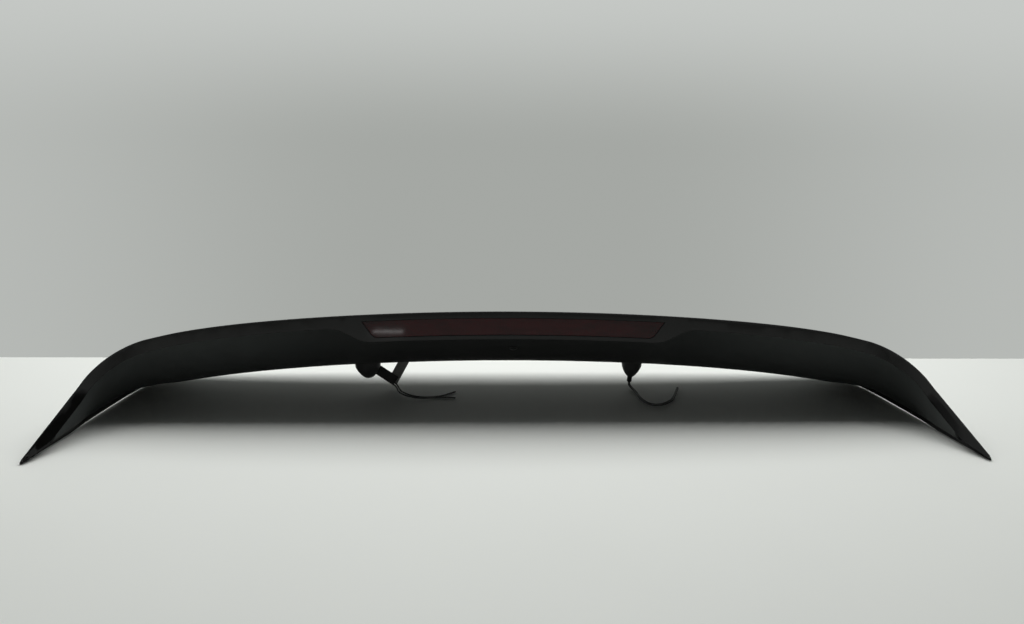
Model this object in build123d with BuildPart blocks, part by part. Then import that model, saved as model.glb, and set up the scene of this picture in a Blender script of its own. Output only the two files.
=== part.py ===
"""Car rear spoiler: a bonded two-skin wing with side blades, brake lamp and washer jet."""
import os
from collections import namedtuple
from math import cos, exp, pi, radians, sin, sqrt, tan

from build123d import *

os.makedirs("parts", exist_ok=True)

# Overall form, in millimetres and degrees
overall_width = 1210.0
overall_height = 160.0
wing_chord = 240.0
blade_reach = 153.0
blade_splay = 14.0
corner_radius = 75.0
side_taper = 17.0
tip_thickness = 5.0
tip_height = 8.0
crown_radius = 4050.0
heel_reach = 120.0
heel_height = 56.5
heel_crown_radius = 4450.0
front_height = 80.0
front_crown_radius = 5500.0
top_slope = 15.0
front_slope = 22.0

# How the wing runs out into the corners, and the corners into the blades
corner_fall = 8.8
corner_front_fall = 22.0
corner_top_slope = 18.0
corner_front_slope = 36.0
corner_heel_pull = 0.19
corner_fall_shares = (0.43, 0.71, -0.14)
corner_foot_share = 0.26
corner_foot_power = 1.6
corner_heel_power = 1.1
corner_slope_power = 1.6
corner_front_rate = 4.0
wing_fall_power = 8
wing_end_power = 6
wing_slope_power = 4
blade_height = 68.0
blade_heel_reach = 11.0
blade_heel_height = 12.0
blade_top_slope = 56.0
blade_front_slope = 77.0
blade_wall = 2.6
tip_heel_reach = 3.0
tip_heel_height = 2.0
tip_top_slope = 50.0
tip_front_slope = 70.0
tip_wall = 1.6
blade_lip_share = 0.55
side_clearance = 2.2
foot_height = 0.4
outline_power = 8
corner_steps = 9
blade_steps = 9
lower_blade_steps = 4

# Skins
skin_wall = 3.0
lip_height = 18.0
lip_lean = 5.0
panel_hollow = 0.45
panel_pull = 0.34
top_pull = 0.36
crest_round = 2.5
bond_gap = 0.3
side_bond_gap = 1.0
lip_tuck = 6.0
tuck_share = 1 / 3
pocket_tuck = 2.2
base_setback = 8.0
setback_share = 1 / 8
rib_height = 4.0
rib_thickness = 2.0
rib_positions = (60, 140, 265, 400)
rib_inset = 20.0
rib_gap = 4.0

# Brake lamp pocket in the lip and the lamp in it
lamp_lip_height = 40.0
pocket_margin = 4.0
pocket_run_out = 58.0
lens_half_top = 212.0
lens_end_slant = 16.0
lens_height = 24.0
lens_drop = 10.0
lens_recess = 0.8
lens_wall = 2.4
lens_top_radius = 4.0
lens_bottom_radius = 12.0
lamp_clearance = 0.4
lens_end_inset = 18.0
box_inset = 2.5
lamp_flange = 3.0
flange_wall = 2.0
gasket_wall = 1.5
gasket_gap = 0.1
housing_depth = 17.0
housing_wall = 1.8
board_wall = 1.6
board_standoff = 2.0
led_count = 14
led_size = 4.0
led_height = 2.0
cup_radius = 6.5
cup_draft = 20.0
reflector_depth = 8.5

# Lamp screws, socket and plug
ear_offset = 12.0
ear_drop = 13.0
ear_length = 30.0
ear_height = 10.0
screw_radius = 1.6
screw_head_radius = 4.0
screw_head_height = 2.6
screw_length = 4.8
screw_boss_radius = 4.5
screw_clearance = 0.1
socket_x = -120.0
socket_width = 24.0
socket_height = 14.0
socket_depth = 12.0
socket_wall = 2.0
plug_clearance = 0.2
plug_length = 18.0
latch_width = 6.0
latch_length = 8.0
latch_height = 1.2

# Washer jet
jet_share = 0.2
jet_flange_radius = 5.8
jet_flange_height = 1.2
jet_dome = 0.8
jet_bore_radius = 0.7
jet_stem_radius = 4.0
jet_clearance = 0.2
jet_seat = 0.05
jet_collar_radius = 5.2
jet_collar_height = 2.0
jet_nipple_radius = 2.0
jet_nipple_length = 9.0

# Leads, hoses and grommets
lead_radius = 3.0
hose_radius = 3.0
left_grommet_x = -228.0
right_grommet_x = 199.0
grommet_reach = 146.0
left_grommet_radius = 20.0
right_grommet_radius = 16.0
grommet_neck_radius = 12.0
left_grommet_tail = 8.5
right_grommet_tail = 6.5
grommet_flange_radius = 16.0
grommet_length = 36.0
grommet_lip = 2.5
grommet_shoulder = 17.0
bowl_pull = 0.8
groove_clearance = 0.15
lead_socket_depth = 5.0
lead_socket_clearance = 0.1
coupling_radius = 4.0
coupling_length = 17.0
coupling_socket = 5.0
coupling_chamfer = 1.0
tail_radius = 2.0
wire_radius = 1.2
wire_spacing = 3.4
wire_offset = 5.0
strap_width = 16.0
strap_wall = 2.0
strap_clearance = 0.3
strap_start = (-226.0, 41.0)
strap_fold = (-187.0, 14.4)
strap_end = (-157.0, 70.0)
strap_overlap = 4.0
clip_length = 10.0
clip_width = 11.0
clip_seat = 0.05
clip_centre = 5.0
clip_grip = 1.0
clip_round = 1.0
lead_clip_at = (-172.0, 137.0)
hose_clip_at = (138.0, 133.0)
lie_gap = 0.1
bend_share = 0.45

# Cord routes: X, distance in front of the trailing edge, Z
lead_straight = 9.0
lead_drop = 12.0
lead_fall = ((-123, 70, 129), (-128, 86, 117), (-135, 103, 101), (-144, 118, 84), (-155, 130, 71))
lead_rise = ((-190, 139.5, 72), (-205, 141, 82), (-218, 141.5, 86.5), (-226.5, 142, 80))
hose_straight = 21.0
hose_drop = 14.0
hose_fall = ((10, 58, 125), (28, 78, 120), (58, 106, 103), (86, 118, 90), (113, 127, 76))
hose_rise = ((156, 137, 69), (171, 139.5, 78), (184, 141, 85.5), (194, 141.5, 83.5))
wire_one_straight = 5.0
wire_one_fall = (
    (-173.5, 120.5, 6), (-164, 108.5, 5.4), (-155.5, 101.5, 4.8), (-146, 97.7, 4),
    (-135.5, 98, 2.8), (-124, 102, 1.6),
)
wire_one_lay = ((-112.5, 106), (-101, 114.5), (-87, 130.5))
wire_two_straight = 5.0
wire_two_fall = (
    (-176.5, 119.5, 4.4), (-167, 106.5, 4), (-157.5, 99, 3.6), (-147, 94.7, 3),
    (-135.5, 95, 2), (-123.5, 99, 1.5),
)
wire_two_lay = ((-111.5, 102), (-98, 101), (-86, 99))
tail_straight = 5.0
tail_fall = ((199, 150.5, 3), (201, 140, 2.3))
tail_lay = (
    (202.5, 127), (203, 93), (209.5, 68), (219, 61), (233, 64.5), (247.5, 80.5), (254.5, 92.5),
    (267, 124.5), (275.5, 147.5),
)

# Mounting studs and their towers
stud_spacing_x = 660.0
stud_spacing_y = 40.0
stud_reach = 185.0
stud_pad_height = 46.0
stud_radius = 3.0
stud_length = 12.0
shank_radius = 3.5
stud_head_radius = 8.0
stud_head_height = 2.5
stud_clearance = 0.2
tower_radius = 9.5
tower_top = 5.5
seal_radius = 12.0
seal_wall = 4.0
seal_bore_radius = 5.0
pin_x = 120.0
pin_reach = 190.0
pin_length = 12.0
pin_radius = 5.0
pin_draft = 8.0

# Foam tape along the front edge
tape_width = 10.0
tape_wall = 2.5
tape_setback = 6.0
tape_seat = 0.05
tape_end_x = 450.0

# Plan of the trailing edge, worked out from the sizes above
half_width = overall_width / 2
corner_turn = 90 - blade_splay
trailing_y = (blade_reach - wing_chord) / 2
corner_depth = corner_radius * (1 - cos(radians(corner_turn)))
blade_run = (blade_reach - corner_depth) / cos(radians(blade_splay))
tip_x = half_width - tip_thickness
corner_end_x = tip_x - blade_run * sin(radians(blade_splay))
corner_x = corner_end_x - corner_radius * sin(radians(corner_turn))
lens_half_bottom = lens_half_top - lens_end_slant
pocket_half_width = lens_half_bottom + pocket_margin
pocket_end_x = pocket_half_width + pocket_run_out

Station = namedtuple(
    "Station",
    "x y turn trailing lip lean heel_reach heel foot_reach foot top_slope foot_slope wall gap",
)


def ease(share):
    """S-shaped run from 0 to 1."""
    return (1 - cos(pi * min(max(share, 0), 1))) / 2


def blend(first, second, share):
    """Straight mix of two values."""
    return first + (second - first) * share


def side_limit(y):
    """Half width of the plan outline at a distance y in front of the trailing edge."""
    return half_width - side_taper * (y + blade_reach) / (wing_chord + blade_reach)


def reach_to_outline(x, y, turn):
    """Distance from a trailing edge point out to the plan outline, along its section plane."""
    low, high = 0.0, 2 * wing_chord
    while high - low > 1e-4:
        middle = (low + high) / 2
        px = x + middle * sin(radians(turn))
        py = y + middle * cos(radians(turn))
        outside = (px / side_limit(py)) ** outline_power + (max(py, 0) / wing_chord) ** outline_power
        low, high = (low, middle) if outside > 1 else (middle, high)
    return low


def lip_at(x):
    """Depth of the rear lip, deeper round the lamp pocket with S-shaped run-outs."""
    return blend(lip_height, lamp_lip_height, ease((pocket_end_x - x) / pocket_run_out))


def wing_station(x):
    """Section square to the straight trailing edge, at a distance x from the centre."""
    x = abs(x)
    along = x / corner_x
    return Station(
        x, 0.0, 0.0,
        overall_height - x**2 / (2 * crown_radius) - corner_fall * along**wing_fall_power,
        lip_at(x), 0.0,
        heel_reach * (1 - corner_heel_pull * along**wing_end_power),
        heel_height - x**2 / (2 * heel_crown_radius),
        reach_to_outline(x, 0, 0),
        front_height - x**2 / (2 * front_crown_radius) - corner_front_fall * along**wing_end_power,
        blend(top_slope, corner_top_slope, along**wing_slope_power),
        blend(front_slope, corner_front_slope, along**wing_end_power),
        skin_wall,
        blend(bond_gap, side_bond_gap, along**wing_end_power),
    )


def corner_station(share):
    """Section on the corner, for a share of its turn from the wing to the blade."""
    wing = wing_station(corner_x)
    turn = corner_turn * share
    x = corner_x + corner_radius * sin(radians(turn))
    y = corner_radius * (cos(radians(turn)) - 1)
    fall = sum(part * share**power for power, part in enumerate(corner_fall_shares, 1))
    return Station(
        x, y, turn,
        blend(wing.trailing, blade_height, fall),
        lip_height, -lip_lean * share,
        blend(wing.heel_reach, blade_heel_reach, ease(share) ** corner_heel_power),
        blend(wing.heel, blade_heel_height, share),
        reach_to_outline(x, y, turn),
        blend(foot_height, wing.foot, max(1 - share / corner_foot_share, 0) ** corner_foot_power)
        + side_clearance * sin(pi * share),
        blend(corner_top_slope, blade_top_slope, ease(share**corner_slope_power)),
        blend(blade_front_slope, corner_front_slope, exp(-corner_front_rate * share)),
        blend(skin_wall, blade_wall, share),
        side_bond_gap,
    )


def blade_station(share):
    """Section on the straight blade, for a share of its run from the corner to the tip."""
    root = corner_station(1)
    run = blade_run * share
    x = root.x + run * sin(radians(blade_splay))
    y = root.y - run * cos(radians(blade_splay))
    trailing = blend(root.trailing, tip_height, share)
    lip = min(lip_height, blade_lip_share * trailing)
    return Station(
        x, y, corner_turn, trailing,
        lip, -lip_lean * lip / lip_height,
        blend(blade_heel_reach, tip_heel_reach, share),
        blend(blade_heel_height, tip_heel_height, share),
        reach_to_outline(x, y, corner_turn), foot_height * (1 - share),
        blend(blade_top_slope, tip_top_slope, share),
        blend(root.foot_slope, tip_front_slope, share),
        blend(blade_wall, tip_wall, share),
        side_bond_gap,
    )


wing_x = [pocket_half_width * share for share in (0, 0.3, 0.55, 0.75, 0.9)]
wing_x += [pocket_half_width + pocket_run_out * k / 4 for k in range(5)]
upper_shares = (0.07, 0.16, 0.28, 0.42, 0.57, 0.72, 0.87, 1)
lower_shares = (0.07, 0.16, 0.28, 0.42, 0.55, 0.66, 0.76, 0.85, 0.93, 1)


def stations(outer_shares, blade_count):
    """Sections from the centre to the right end, with a number of them on the blade."""
    places = wing_x + [blend(pocket_end_x, corner_x, share) for share in outer_shares]
    sections = [wing_station(x) for x in places]
    sections += [corner_station(k / corner_steps) for k in range(1, corner_steps + 1)]
    return sections + [blade_station(k / blade_steps) for k in range(1, blade_count + 1)]


def section_plane(station, side):
    """Upright plane of a station on the right (1) or left (-1) half."""
    turn = radians(station.turn)
    return Plane(
        origin=(side * station.x, trailing_y + station.y, 0),
        x_dir=(side * sin(turn), cos(turn), 0),
        z_dir=(cos(turn), -side * sin(turn), 0),
    )


def span(right):
    """Station and plane pairs from the left end to the right end, mirrored from the right half."""
    left = [(s, section_plane(s, -1)) for s in reversed(right[1:])]
    return left + [(s, section_plane(s, 1)) for s in right]


def downhill(slope):
    """Unit vector that falls away at a slope in degrees."""
    return Vector(cos(radians(slope)), -sin(radians(slope)))


def right_of(way):
    """Unit vector square to a direction, on its right-hand side."""
    return Vector(way.Y, -way.X)


def left_of(way):
    """Unit vector square to a direction, on its left-hand side."""
    return Vector(-way.Y, way.X)


def mitre(first, second, wall):
    """Offset of a corner whose two sides have the unit normals first and second."""
    return (first + second) * (wall / (1 + first.dot(second)))


def meet(point, way, other, other_way):
    """Point where two lines of the section plane cross."""
    gap = other - point
    turn = way.X * other_way.Y - way.Y * other_way.X
    return point + way * ((gap.X * other_way.Y - gap.Y * other_way.X) / turn)


UpperForm = namedtuple("UpperForm", "lip_way lip_in top_way foot_way crest lip_end foot")
LowerForm = namedtuple("LowerForm", "tuck root root_way heel heel_way base_end base_way skin_line")


def upper_form(s):
    """Corners and directions of the upper skin in a section."""
    lip_way = Vector(s.lean, -s.lip).normalized()
    return UpperForm(
        lip_way, left_of(lip_way), downhill(s.top_slope), downhill(s.foot_slope),
        Vector(0, s.trailing), Vector(s.lean, s.trailing - s.lip), Vector(s.foot_reach, s.foot),
    )


def lower_form(s):
    """Corners and directions of the underside panel and the base in a section."""
    upper = upper_form(s)
    root = upper.lip_end + upper.lip_in * (s.wall + s.gap)
    depth = blend(lip_tuck, pocket_tuck, ease((pocket_end_x - s.x) / pocket_run_out))
    tuck = root - upper.lip_way * min(depth, s.lip * tuck_share)
    heel = Vector(s.heel_reach, s.heel)
    chord = (heel - root).normalized()
    root_way = (chord + upper.lip_way * panel_hollow).normalized()
    heel_way = (chord * 2 - root_way).normalized()
    skin_line = upper.foot + right_of(upper.foot_way) * (s.wall + s.gap)
    setback = min(base_setback, (upper.foot - upper.crest).length * setback_share)
    base_end = skin_line - upper.foot_way * setback
    base_way = (base_end - heel).normalized()
    return LowerForm(tuck, root, root_way, heel, heel_way, base_end, base_way, skin_line)


def top_curve(form, wall):
    """Lip end, crest and control points of the top, on its visible face or a wall further in."""
    lip_end = form.lip_end + form.lip_in * wall
    crest = form.crest + mitre(form.lip_in, right_of(form.top_way), wall)
    foot = form.foot + right_of(form.foot_way) * wall
    pull = top_pull * (foot - crest).length
    return lip_end, crest, crest + form.top_way * pull, foot - form.foot_way * pull, foot


def upper_profile(s, plane):
    """Thin closed band of the upper skin: lip, rounded crest, top and front edge."""
    form = upper_form(s)
    lip_end, crest, pull_crest, pull_foot, foot = top_curve(form, 0)
    lip_end_in, *inner = top_curve(form, s.wall)
    rounding = crest_round * s.wall / skin_wall
    crest_low = crest + form.lip_way * rounding
    crest_back = crest + form.top_way * rounding
    with BuildSketch(plane) as profile:
        with BuildLine():
            Line(lip_end, crest_low)
            Bezier(crest_low, crest, crest_back)
            Bezier(crest_back, pull_crest, pull_foot, foot)
            Line(foot, inner[-1])
            Bezier(*reversed(inner))
            Line(inner[0], lip_end_in)
            Line(lip_end_in, lip_end)
        make_face()
    return profile.sketch


def panel_curve(form, wall):
    """Control points of the underside panel, on its visible face or a wall further in."""
    root = form.root + Vector(wall, 0)
    heel = form.heel + mitre(left_of(form.heel_way), left_of(form.base_way), wall)
    pull = panel_pull * (heel - root).length
    return root, root + form.root_way * pull, heel - form.heel_way * pull, heel


def lower_profile(s, plane):
    """Thin closed band of the lower skin: tapered tuck behind the lip, panel, heel and base."""
    form = lower_form(s)
    outer = panel_curve(form, 0)
    inner = panel_curve(form, s.wall)
    base_end_in = meet(inner[-1], form.base_way, form.skin_line, upper_form(s).foot_way)
    with BuildSketch(plane) as profile:
        with BuildLine():
            Line(form.tuck, form.root)
            Bezier(*outer)
            Line(form.heel, form.base_end)
            Line(form.base_end, base_end_in)
            Line(base_end_in, inner[-1])
            Bezier(*reversed(inner))
            Line(inner[0], form.tuck)
        make_face()
    return profile.sketch


def tape_profile(s, plane):
    """Strip of foam on the underside of the base, near the front edge."""
    form = lower_form(s)
    down = right_of(form.base_way)
    near = form.base_end - form.base_way * tape_setback + down * tape_seat
    far = near - form.base_way * tape_width
    with BuildSketch(plane) as profile:
        with BuildLine():
            Polyline(near, far, far + down * tape_wall, near + down * tape_wall, close=True)
        make_face()
    return profile.sketch


def crown_z(x, drop):
    """Height of a line that runs a fixed drop below the crest of the trailing edge."""
    return overall_height - crown_radius + sqrt((crown_radius - drop) ** 2 - x**2)


def lamp_face(depth):
    """Upright plane a given depth in front of the lip's rear face, seen from behind."""
    return Plane.XZ.offset(-(trailing_y + depth))


def lamp_outline(grow, depth):
    """Crowned lens outline with slanted ends, grown or shrunk all round."""
    upper = lens_drop - grow
    lower = lens_drop + lens_height + grow
    slant = lens_end_slant / lens_height
    end_grow = grow * sqrt(1 + slant**2)
    half_upper = lens_half_top + end_grow + grow * slant
    half_lower = lens_half_bottom + end_grow - grow * slant
    upper_z = crown_z(half_upper, upper)
    lower_z = crown_z(half_lower, lower)
    with BuildSketch(lamp_face(depth)) as outline:
        with BuildLine():
            ThreePointArc((-half_upper, upper_z), (0, crown_z(0, upper)), (half_upper, upper_z))
            Line((half_upper, upper_z), (half_lower, lower_z))
            ThreePointArc((half_lower, lower_z), (0, crown_z(0, lower)), (-half_lower, lower_z))
            Line((-half_lower, lower_z), (-half_upper, upper_z))
        make_face()
        corners = outline.vertices().sort_by(Axis.Y)
        fillet(corners[:2], lens_bottom_radius)
        fillet(corners[2:], lens_top_radius)
    return outline.sketch


def base_plane(x, reach):
    """Plane on the base's underside, with its normal into the wing."""
    form = lower_form(wing_station(x))
    point = form.heel + form.base_way * ((reach - form.heel.X) / form.base_way.X)
    along = Vector(1, 0, -x / heel_crown_radius).normalized()
    up = Vector(0, -form.base_way.Y, form.base_way.X)
    up = (up - along * up.dot(along)).normalized()
    return Plane(origin=(x, trailing_y + point.X, point.Y), x_dir=along, z_dir=up)


def jet_plane():
    """Plane on the visible face of the underside panel, on the centre line."""
    a, b, c, d = panel_curve(lower_form(wing_station(0)), 0)
    t = jet_share
    point = a * (1 - t) ** 3 + b * (3 * t * (1 - t) ** 2) + c * (3 * t**2 * (1 - t)) + d * t**3
    way = ((b - a) * (1 - t) ** 2 + (c - b) * (2 * t * (1 - t)) + (d - c) * t**2).normalized()
    return Plane(origin=(0, trailing_y + point.X, point.Y), x_dir=(1, 0, 0),
                 z_dir=(0, -way.Y, way.X))


def spin_plane(plane):
    """Plane through the axis of another plane, for a turned profile."""
    return Plane(origin=plane.origin, x_dir=plane.x_dir, z_dir=plane.y_dir * -1)


def on_axis(plane, height):
    """Point on the axis of a plane."""
    return plane.origin + plane.z_dir * height


def route(points):
    """Points of a cord, from the distance in front of the trailing edge to the frame."""
    return [Vector(x, trailing_y + reach, z) for x, reach, z in points]


def corner_radii(name, points):
    """Largest radius at each corner of a cord that its two runs leave room for."""
    radii = []
    for before, here, after in zip(points, points[1:], points[2:]):
        turn = radians((here - before).get_angle(after - here))
        shorter = min((here - before).length, (after - here).length)
        radii.append(bend_share * shorter / tan(turn / 2))
    print(name, "radii", [round(radius, 1) for radius in radii])
    return radii


def strip(start, end, width):
    """Corners of a flat strip between two points."""
    start, end = Vector(*start), Vector(*end)
    side = left_of((end - start).normalized()) * (width / 2)
    return start + side, end + side, end - side, start - side


# Depths through the lamp, from the rear face of the lip
gasket_front = skin_wall + gasket_gap
flange_front = gasket_front + gasket_wall
housing_front = flange_front + flange_wall
box_front = housing_front + flange_wall
housing_back = box_front + housing_depth
board_back = housing_back - housing_wall - board_standoff
board_front = board_back - board_wall
reflector_front = board_front - reflector_depth
plug_front = housing_back + socket_wall + plug_clearance
plug_back = plug_front + plug_length

# Places on the lamp, in its upright plane
inside_inset = box_inset + housing_wall
board_inset = inside_inset + lamp_clearance
ear_z = crown_z(lens_half_top, ear_drop)
ear_places = [(side * (lens_half_top + ear_offset), ear_z) for side in (-1, 1)]
lamp_drop = lens_drop + lens_height / 2
led_pitch = 2 * (lens_half_bottom - lens_end_inset) / (led_count - 1)
led_places = [
    (x, crown_z(x, lamp_drop))
    for x in [(k - (led_count - 1) / 2) * led_pitch for k in range(led_count)]
]
standoff_places = [(x + led_pitch / 2, z) for x, z in led_places[1:led_count - 1:4]]
socket_at = (socket_x, crown_z(socket_x, lamp_drop))

# Places on the base
left_seat = base_plane(left_grommet_x, grommet_reach)
right_seat = base_plane(right_grommet_x, grommet_reach)
grommet_top = skin_wall + groove_clearance + grommet_lip
lead_seat = grommet_top - lead_socket_depth
left_grommet_end = on_axis(left_seat, -grommet_length)
coupling_top = on_axis(right_seat, coupling_socket - grommet_length)
coupling_end = on_axis(right_seat, coupling_socket - grommet_length - coupling_length)
strap_y = left_grommet_end.Y
stud_places = [
    (side * stud_spacing_x / 2, stud_reach + end * stud_spacing_y / 2)
    for side in (-1, 1)
    for end in (-1, 1)
]
tower_tops = [base_plane(x, reach).origin.Z + tower_top for x, reach in stud_places]

with BuildPart() as lamp_bosses:
    with BuildSketch(lamp_face(housing_front)):
        with Locations(*ear_places):
            Circle(screw_boss_radius)
            Circle(screw_radius + screw_clearance, mode=Mode.SUBTRACT)
    extrude(amount=housing_front - skin_wall / 2)

with BuildPart() as upper_skin:
    loft([upper_profile(*pair) for pair in span(stations(upper_shares, blade_steps))])
    extrude(lamp_outline(lamp_clearance, -skin_wall),
            amount=-skin_wall - flange_front, mode=Mode.SUBTRACT)
    add(lamp_bosses.part)
    split(bisect_by=Plane.XY, keep=Keep.TOP)
upper_skin.part.label = "upper_skin"
export_step(upper_skin.part, "parts/upper_skin.step")

with BuildPart() as base_ribs:
    for x in [side * place for place in rib_positions for side in (-1, 1)]:
        form = lower_form(wing_station(x))
        start = form.heel + form.base_way * rib_inset
        end = form.base_end - form.base_way * (tape_setback + tape_width + rib_gap)
        root = left_of(form.base_way) * (skin_wall / 2)
        edge = right_of(form.base_way) * rib_height
        ramp = form.base_way * rib_height
        with BuildSketch(section_plane(wing_station(x), 1 if x > 0 else -1)):
            with BuildLine():
                Polyline(start + root, start + ramp + edge, end - ramp + edge, end + root, close=True)
            make_face()
        extrude(amount=rib_thickness / 2, both=True)

with BuildPart() as base_bosses:
    for (x, reach), top in zip(stud_places, tower_tops):
        with BuildSketch(Plane.XY.offset(stud_pad_height)):
            with Locations((x, trailing_y + reach)):
                Circle(tower_radius)
        extrude(amount=top - stud_pad_height)
    for x in (-pin_x, pin_x):
        with BuildSketch(Plane.XY.offset(base_plane(x, pin_reach).origin.Z + skin_wall / 2)):
            with Locations((x, trailing_y + pin_reach)):
                Circle(pin_radius)
        extrude(amount=-pin_length - skin_wall / 2, taper=pin_draft)

with BuildPart() as base_holes:
    for (x, reach), top in zip(stud_places, tower_tops):
        with BuildSketch(Plane.XY.offset(stud_pad_height - skin_wall)):
            with Locations((x, trailing_y + reach)):
                Circle(shank_radius + stud_clearance)
        extrude(amount=top - stud_pad_height + 2 * skin_wall)
    for seat in (left_seat, right_seat):
        with BuildSketch(seat):
            Circle(grommet_neck_radius + groove_clearance)
        extrude(amount=2 * skin_wall, both=True)
    with BuildSketch(jet_plane()):
        Circle(jet_stem_radius + jet_clearance)
    extrude(amount=2 * skin_wall, both=True)
    with BuildSketch(Plane.XZ.offset(-strap_y + strap_clearance)):
        Polygon(*strip(strap_fold, strap_end, strap_width + 2 * strap_clearance), align=None)
    extrude(amount=-strap_wall - 2 * strap_clearance)

with BuildPart() as lower_skin:
    loft([lower_profile(*pair) for pair in span(stations(lower_shares, lower_blade_steps))])
    add(base_ribs.part)
    add(base_bosses.part)
    add(base_holes.part, mode=Mode.SUBTRACT)
lower_skin.part.label = "lower_skin"
export_step(lower_skin.part, "parts/lower_skin.step")

tape_stations = [s for s in stations(upper_shares, 0) if s.x < tape_end_x]
with BuildPart() as front_edge_tape:
    loft([tape_profile(*pair) for pair in span(tape_stations)])
front_edge_tape.part.label = "front_edge_tape"
export_step(front_edge_tape.part, "parts/front_edge_tape.step")

with BuildPart() as brake_lamp_lens:
    extrude(lamp_outline(0, lens_recess), amount=lens_recess - flange_front)
    extrude(lamp_outline(lamp_flange, flange_front), amount=-flange_wall)
    extrude(lamp_outline(-lens_wall, lens_recess + lens_wall), amount=-housing_front, mode=Mode.SUBTRACT)
brake_lamp_lens.part.label = "brake_lamp_lens"
export_step(brake_lamp_lens.part, "parts/brake_lamp_lens.step")

with BuildPart() as brake_lamp_gasket:
    extrude(lamp_outline(lamp_flange, gasket_front), amount=-gasket_wall)
    extrude(lamp_outline(2 * lamp_clearance, gasket_front), amount=-gasket_wall, mode=Mode.SUBTRACT)
brake_lamp_gasket.part.label = "brake_lamp_gasket"
export_step(brake_lamp_gasket.part, "parts/brake_lamp_gasket.step")

with BuildPart() as brake_lamp_housing:
    extrude(lamp_outline(lamp_flange, housing_front), amount=-flange_wall)
    with BuildSketch(lamp_face(housing_front)):
        with Locations(*ear_places):
            RectangleRounded(ear_length, ear_height, ear_height / 3)
    extrude(amount=-flange_wall)
    extrude(lamp_outline(-box_inset, box_front), amount=-housing_depth)
    extrude(lamp_outline(-inside_inset, housing_front),
            amount=housing_front - housing_back + housing_wall, mode=Mode.SUBTRACT)
    with BuildSketch(lamp_face(board_back)):
        with Locations(*standoff_places):
            Circle(board_standoff)
    extrude(amount=-board_standoff)
    with BuildSketch(lamp_face(housing_back)):
        with Locations(socket_at):
            RectangleRounded(socket_width, socket_height, socket_wall)
    extrude(amount=-socket_depth)
    with BuildSketch(lamp_face(housing_back + socket_wall)):
        with Locations(socket_at):
            Rectangle(socket_width - 2 * socket_wall, socket_height - 2 * socket_wall)
    extrude(amount=-socket_depth, mode=Mode.SUBTRACT)
    with BuildSketch(lamp_face(housing_front)):
        with Locations(*ear_places):
            Circle(screw_radius + screw_clearance)
    extrude(amount=-flange_wall, mode=Mode.SUBTRACT)
brake_lamp_housing.part.label = "brake_lamp_housing"
export_step(brake_lamp_housing.part, "parts/brake_lamp_housing.step")

with BuildPart() as brake_lamp_circuit_board:
    extrude(lamp_outline(-board_inset, board_front), amount=-board_wall)
brake_lamp_circuit_board.part.label = "brake_lamp_circuit_board"
export_step(brake_lamp_circuit_board.part, "parts/brake_lamp_circuit_board.step")

with BuildPart() as brake_lamp_reflector:
    extrude(lamp_outline(-board_inset, reflector_front), amount=-reflector_depth)
    with BuildSketch(lamp_face(reflector_front)):
        with Locations(*led_places):
            Circle(cup_radius)
    extrude(amount=-reflector_depth, taper=cup_draft, mode=Mode.SUBTRACT)
brake_lamp_reflector.part.label = "brake_lamp_reflector"
export_step(brake_lamp_reflector.part, "parts/brake_lamp_reflector.step")

with BuildPart() as brake_lamp_leds:
    with BuildSketch(lamp_face(board_front)):
        with Locations(*led_places):
            Rectangle(led_size, led_size)
    extrude(amount=led_height)
brake_lamp_leds.part.label = "brake_lamp_leds"
export_step(brake_lamp_leds.part, "parts/brake_lamp_leds.step")

with BuildPart() as brake_lamp_screws:
    with BuildSketch(lamp_face(box_front)):
        with Locations(*ear_places):
            Circle(screw_head_radius)
    extrude(amount=-screw_head_height)
    with BuildSketch(lamp_face(box_front)):
        with Locations(*ear_places):
            Circle(screw_radius)
    extrude(amount=screw_length)
brake_lamp_screws.part.label = "brake_lamp_screws"
export_step(brake_lamp_screws.part, "parts/brake_lamp_screws.step")

plug_width = socket_width - 2 * (socket_wall + plug_clearance)
plug_height = socket_height - 2 * (socket_wall + plug_clearance)
with BuildPart() as lamp_plug:
    with BuildSketch(lamp_face(plug_front)):
        with Locations(socket_at):
            RectangleRounded(plug_width, plug_height, socket_wall / 2)
    extrude(amount=-plug_length)
    with BuildSketch(lamp_face(plug_back)):
        with Locations((socket_x, socket_at[1] + plug_height / 2)):
            Rectangle(latch_width, 2 * latch_height)
    extrude(amount=latch_length)
lamp_plug.part.label = "lamp_plug"
export_step(lamp_plug.part, "parts/lamp_plug.step")

# Turned profile of the washer jet: radius, then height above the visible face of the panel
jet_seat_plane = jet_plane()
collar_low = skin_wall + groove_clearance
collar_top = collar_low + jet_collar_height
nipple_top = collar_top + jet_nipple_length
with BuildPart() as washer_jet:
    with BuildSketch(spin_plane(jet_seat_plane)):
        with BuildLine():
            Polyline(
                (0, -jet_dome), (jet_bore_radius, -jet_dome),
                (jet_bore_radius, -jet_flange_height - jet_dome),
                (jet_flange_radius / 2, -jet_flange_height - jet_dome),
                (jet_flange_radius, -jet_flange_height), (jet_flange_radius, -jet_seat),
                (jet_stem_radius, -jet_seat), (jet_stem_radius, collar_low),
                (jet_collar_radius, collar_low), (jet_stem_radius, collar_top),
                (jet_nipple_radius, collar_top), (jet_nipple_radius, nipple_top),
                (0, nipple_top), close=True,
            )
        make_face()
    revolve(axis=Axis(jet_seat_plane.origin, jet_seat_plane.z_dir))
washer_jet.part.label = "washer_jet"
export_step(washer_jet.part, "parts/washer_jet.step")


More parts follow.
